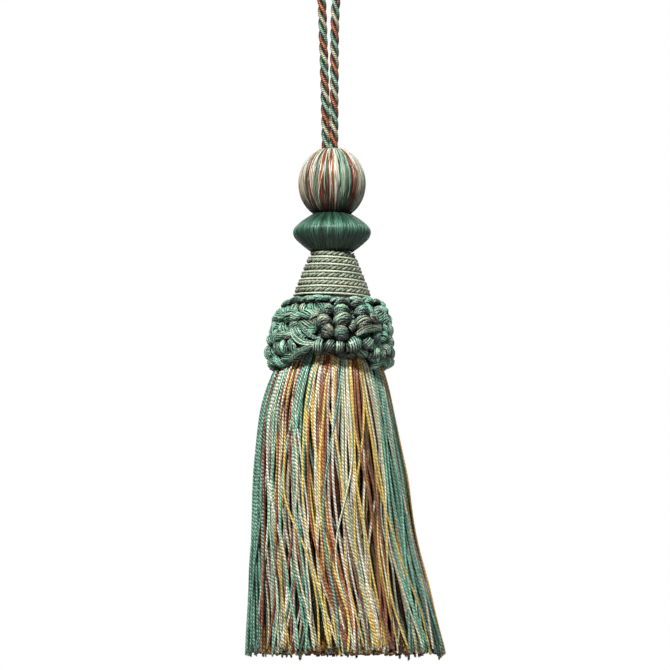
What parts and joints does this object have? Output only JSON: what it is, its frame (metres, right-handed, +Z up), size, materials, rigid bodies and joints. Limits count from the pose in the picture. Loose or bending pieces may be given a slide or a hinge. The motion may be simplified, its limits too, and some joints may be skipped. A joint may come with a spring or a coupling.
{
  "type": "key tassel",
  "caption": "Hanging key tassel on a twisted cord loop: wrapped ball and disc, cord-bound cone, knotted ruff and a long skirt of cut two-ply yarns.",
  "frame": {"origin": "the hang point, at the underside of the top of the cord loop, where a knob, key or hook bears", "axes": "+Z up along the hanging tassel, the front with the knots faces -Y, +X to the right seen from the front"},
  "size_m": [0.058, 0.0581, 0.2288],
  "materials": {
    "loop_cord": "three-strand twisted cord in rust, sage and teal yarn",
    "ball_silk": "silky yarns of rust, cream, sage and teal wrapped top to bottom",
    "disc_silk": "lustrous teal silk wrapped top to bottom",
    "cone_cord": "sage two-ply cord and fine cream cord wound side by side",
    "ruff_cord": "knotted and crocheted cord of mixed teal and grey-sage yarn",
    "skirt_yarn": "cut two-ply yarns in teal, sage, cream, gold, rust and brown"
  },
  "bodies": {
    "root": {"loop_cord": "loop_cord", "head_ball": "ball_silk", "head_disc": "disc_silk", "head_cone": "cone_cord", "ruff": "ruff_cord", "skirt": "skirt_yarn"}
  },
  "joints": []
}
